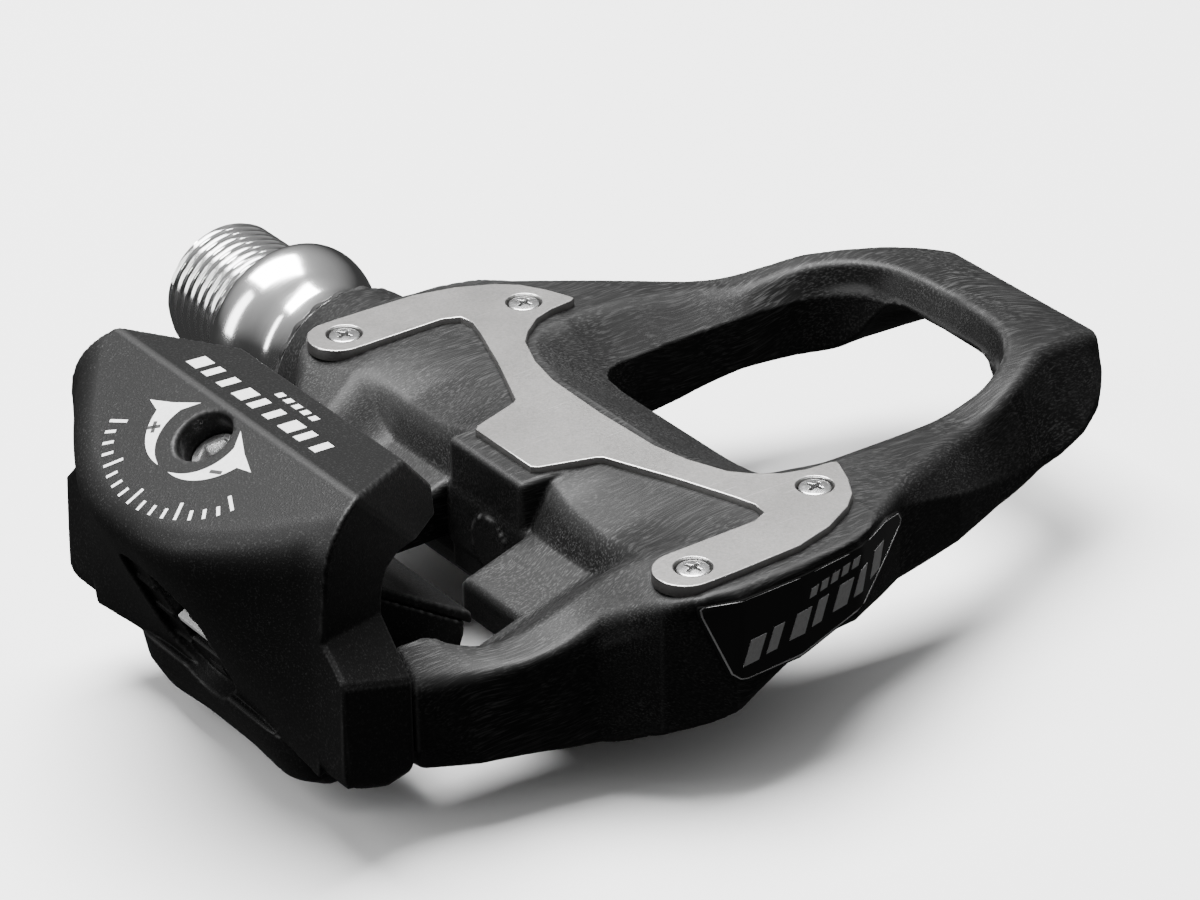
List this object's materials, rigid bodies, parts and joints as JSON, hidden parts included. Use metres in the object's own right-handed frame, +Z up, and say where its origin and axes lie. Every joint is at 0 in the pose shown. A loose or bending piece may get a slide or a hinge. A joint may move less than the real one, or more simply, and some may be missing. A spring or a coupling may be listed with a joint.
{
  "type": "clipless pedal",
  "caption": "Road clipless pedal for a three-bolt cleat: polished threaded spindle, open moulded platform with a steel cleat plate, and a sprung rear binding with a tension bolt.",
  "frame": {"origin": "spindle axis at the crank face of the spindle collar, where the thread starts", "axes": "+Y along the spindle towards the crank, +X forward, +Z up out of the cleat side"},
  "size_m": [0.1031, 0.0973, 0.0351],
  "materials": {
    "polished_steel": "polished",
    "bearing_steel": "ground",
    "carbon_composite": "chopped-fibre moulded composite, semi-matte",
    "blasted_stainless": "bead-blasted satin",
    "screw_steel": "satin",
    "binding_resin": "fine-grained glass-filled resin",
    "black_resin": "smooth",
    "seal_rubber": "soft",
    "label_gloss": null,
    "brass_cage": "satin",
    "spring_steel": "oiled wire"
  },
  "bodies": {
    "spindle": {"spindle": "polished_steel", "outboard_cone": "bearing_steel", "tab_washer": "bearing_steel", "spindle_locknut": "bearing_steel"},
    "inboard_balls": {"inboard_balls": "bearing_steel"},
    "outboard_balls": {"outboard_balls": "bearing_steel"},
    "needle_set": {"needle_rollers": "bearing_steel", "needle_cage": "brass_cage"},
    "pedal_body": {"body_shell": "carbon_composite", "cover_plate": "blasted_stainless", "cover_screws": "screw_steel", "lock_sleeve": "black_resin", "dust_seal": "seal_rubber", "bearing_tube": "bearing_steel", "inboard_cup": "bearing_steel", "outboard_cup": "bearing_steel", "needle_shell": "bearing_steel", "pivot_pin": "bearing_steel", "side_label": "label_gloss", "left_spring": "spring_steel", "right_spring": "spring_steel"},
    "claw": {"rear_claw": "binding_resin", "spring_cover": "binding_resin"},
    "tension_bolt": {"tension_bolt": "screw_steel"},
    "tension_nut": {"tension_nut": "bearing_steel"}
  },
  "joints": [
    {"name": "body_spin", "type": "hinge", "parent": "spindle", "child": "pedal_body", "pos_m": [0, 0, 0], "axis": [0, 1, 0], "continuous": true},
    {"name": "inboard_ball_orbit", "type": "hinge", "parent": "spindle", "child": "inboard_balls", "pos_m": [0, 0, 0], "axis": [0, 1, 0], "continuous": true},
    {"name": "outboard_ball_orbit", "type": "hinge", "parent": "spindle", "child": "outboard_balls", "pos_m": [0, 0, 0], "axis": [0, 1, 0], "continuous": true},
    {"name": "needle_orbit", "type": "hinge", "parent": "spindle", "child": "needle_set", "pos_m": [0, 0, 0], "axis": [0, 1, 0], "continuous": true},
    {"name": "claw_pivot", "type": "hinge", "parent": "pedal_body", "child": "claw", "pos_m": [-0.029, -0.052, -0.001], "axis": [0, -1, 0], "range_deg": [0, 22], "stiffness_Nm_per_rad": 2, "springref_deg": -4.58, "deforming": ["left_spring", "right_spring"]},
    {"name": "tension_bolt_turn", "type": "hinge", "parent": "claw", "child": "tension_bolt", "pos_m": [-0.0406, -0.052, 0.0239], "axis": [0.4509, 0, -0.8926], "range_deg": [0, 1440]},
    {"name": "tension_nut_climb", "type": "slide", "parent": "claw", "child": "tension_nut", "axis": [-0.4509, 0, 0.8926], "range_m": [0, 0.0032]}
  ],
  "couplings": [
    {"joint": "inboard_ball_orbit", "follows": "body_spin", "ratio": 0.5992},
    {"joint": "outboard_ball_orbit", "follows": "body_spin", "ratio": 0.6144},
    {"joint": "needle_orbit", "follows": "body_spin", "ratio": 0.5652},
    {"joint": "tension_bolt_turn", "follows": "tension_nut_climb", "rad_per_m": 7854}
  ]
}
